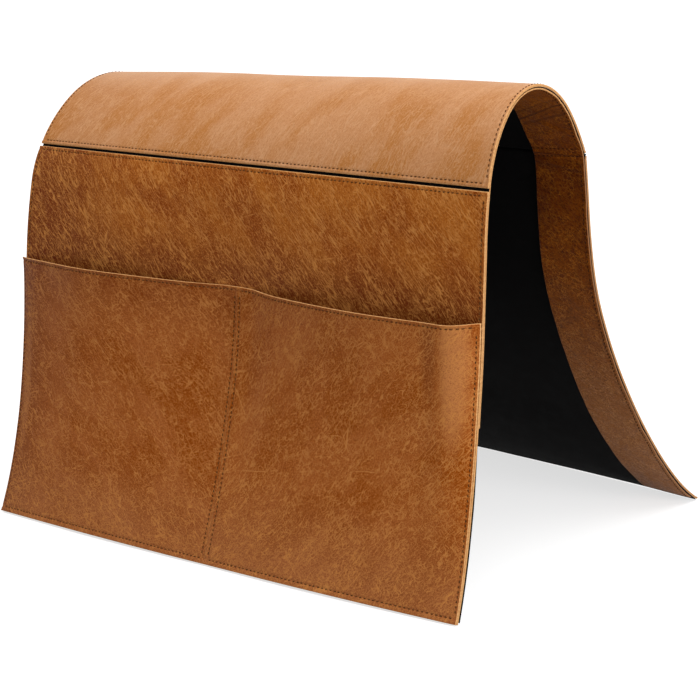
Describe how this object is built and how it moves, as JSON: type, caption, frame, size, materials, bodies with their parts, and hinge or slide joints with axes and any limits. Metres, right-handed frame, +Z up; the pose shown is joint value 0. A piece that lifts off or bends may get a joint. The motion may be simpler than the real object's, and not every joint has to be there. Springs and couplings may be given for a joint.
{
  "type": "sofa armrest organizer",
  "caption": "Leather cover that arches over a sofa armrest, with a black lining, a hinged back flap and a hinged front flap that carries open-topped pockets.",
  "frame": {"origin": "on the floor under the middle of the cover, halfway between its outermost front and back points", "axes": "+X along the cover's width, -Y towards the pocket side, +Z up"},
  "size_m": [0.4501, 0.4399, 0.3767],
  "materials": {
    "cover_leather": "cognac pull-up leather with a soft sheen",
    "facing_leather": "brown leather, a little duller than the outside",
    "black_lining": "black matt lining cloth",
    "dark_thread": "dark brown waxed thread"
  },
  "bodies": {
    "arch": {"top_panel": "cover_leather", "top_lining": "black_lining", "top_left_facing": "facing_leather", "top_right_facing": "facing_leather", "slit_upper_stitching": "dark_thread", "seam_upper_stitching": "dark_thread", "top_left_stitching": "dark_thread", "top_right_stitching": "dark_thread"},
    "front_flap": {"front_panel": "cover_leather", "front_lining": "black_lining", "front_left_facing": "facing_leather", "front_right_facing": "facing_leather", "left_pocket": "cover_leather", "right_pocket": "cover_leather", "slit_lower_stitching": "dark_thread", "front_left_stitching": "dark_thread", "front_right_stitching": "dark_thread", "left_pocket_side_stitching": "dark_thread", "left_pocket_middle_stitching": "dark_thread", "left_pocket_mouth_stitching": "dark_thread", "left_pocket_hem_stitching": "dark_thread", "right_pocket_side_stitching": "dark_thread", "right_pocket_middle_stitching": "dark_thread", "right_pocket_mouth_stitching": "dark_thread", "right_pocket_hem_stitching": "dark_thread"},
    "back_flap": {"back_panel": "cover_leather", "back_lining": "black_lining", "back_left_facing": "facing_leather", "back_right_facing": "facing_leather", "seam_lower_stitching": "dark_thread", "back_left_stitching": "dark_thread", "back_right_stitching": "dark_thread", "back_hem_stitching": "dark_thread"}
  },
  "joints": [
    {"name": "front_flap_hinge", "type": "hinge", "parent": "arch", "child": "front_flap", "pos_m": [0, -0.15075, 0.30695], "axis": [-1, 0, 0], "range_deg": [-15, 60]},
    {"name": "back_flap_hinge", "type": "hinge", "parent": "arch", "child": "back_flap", "pos_m": [0, -0.02593, 0.3195], "axis": [1, 0, 0], "range_deg": [-35, 75]}
  ]
}
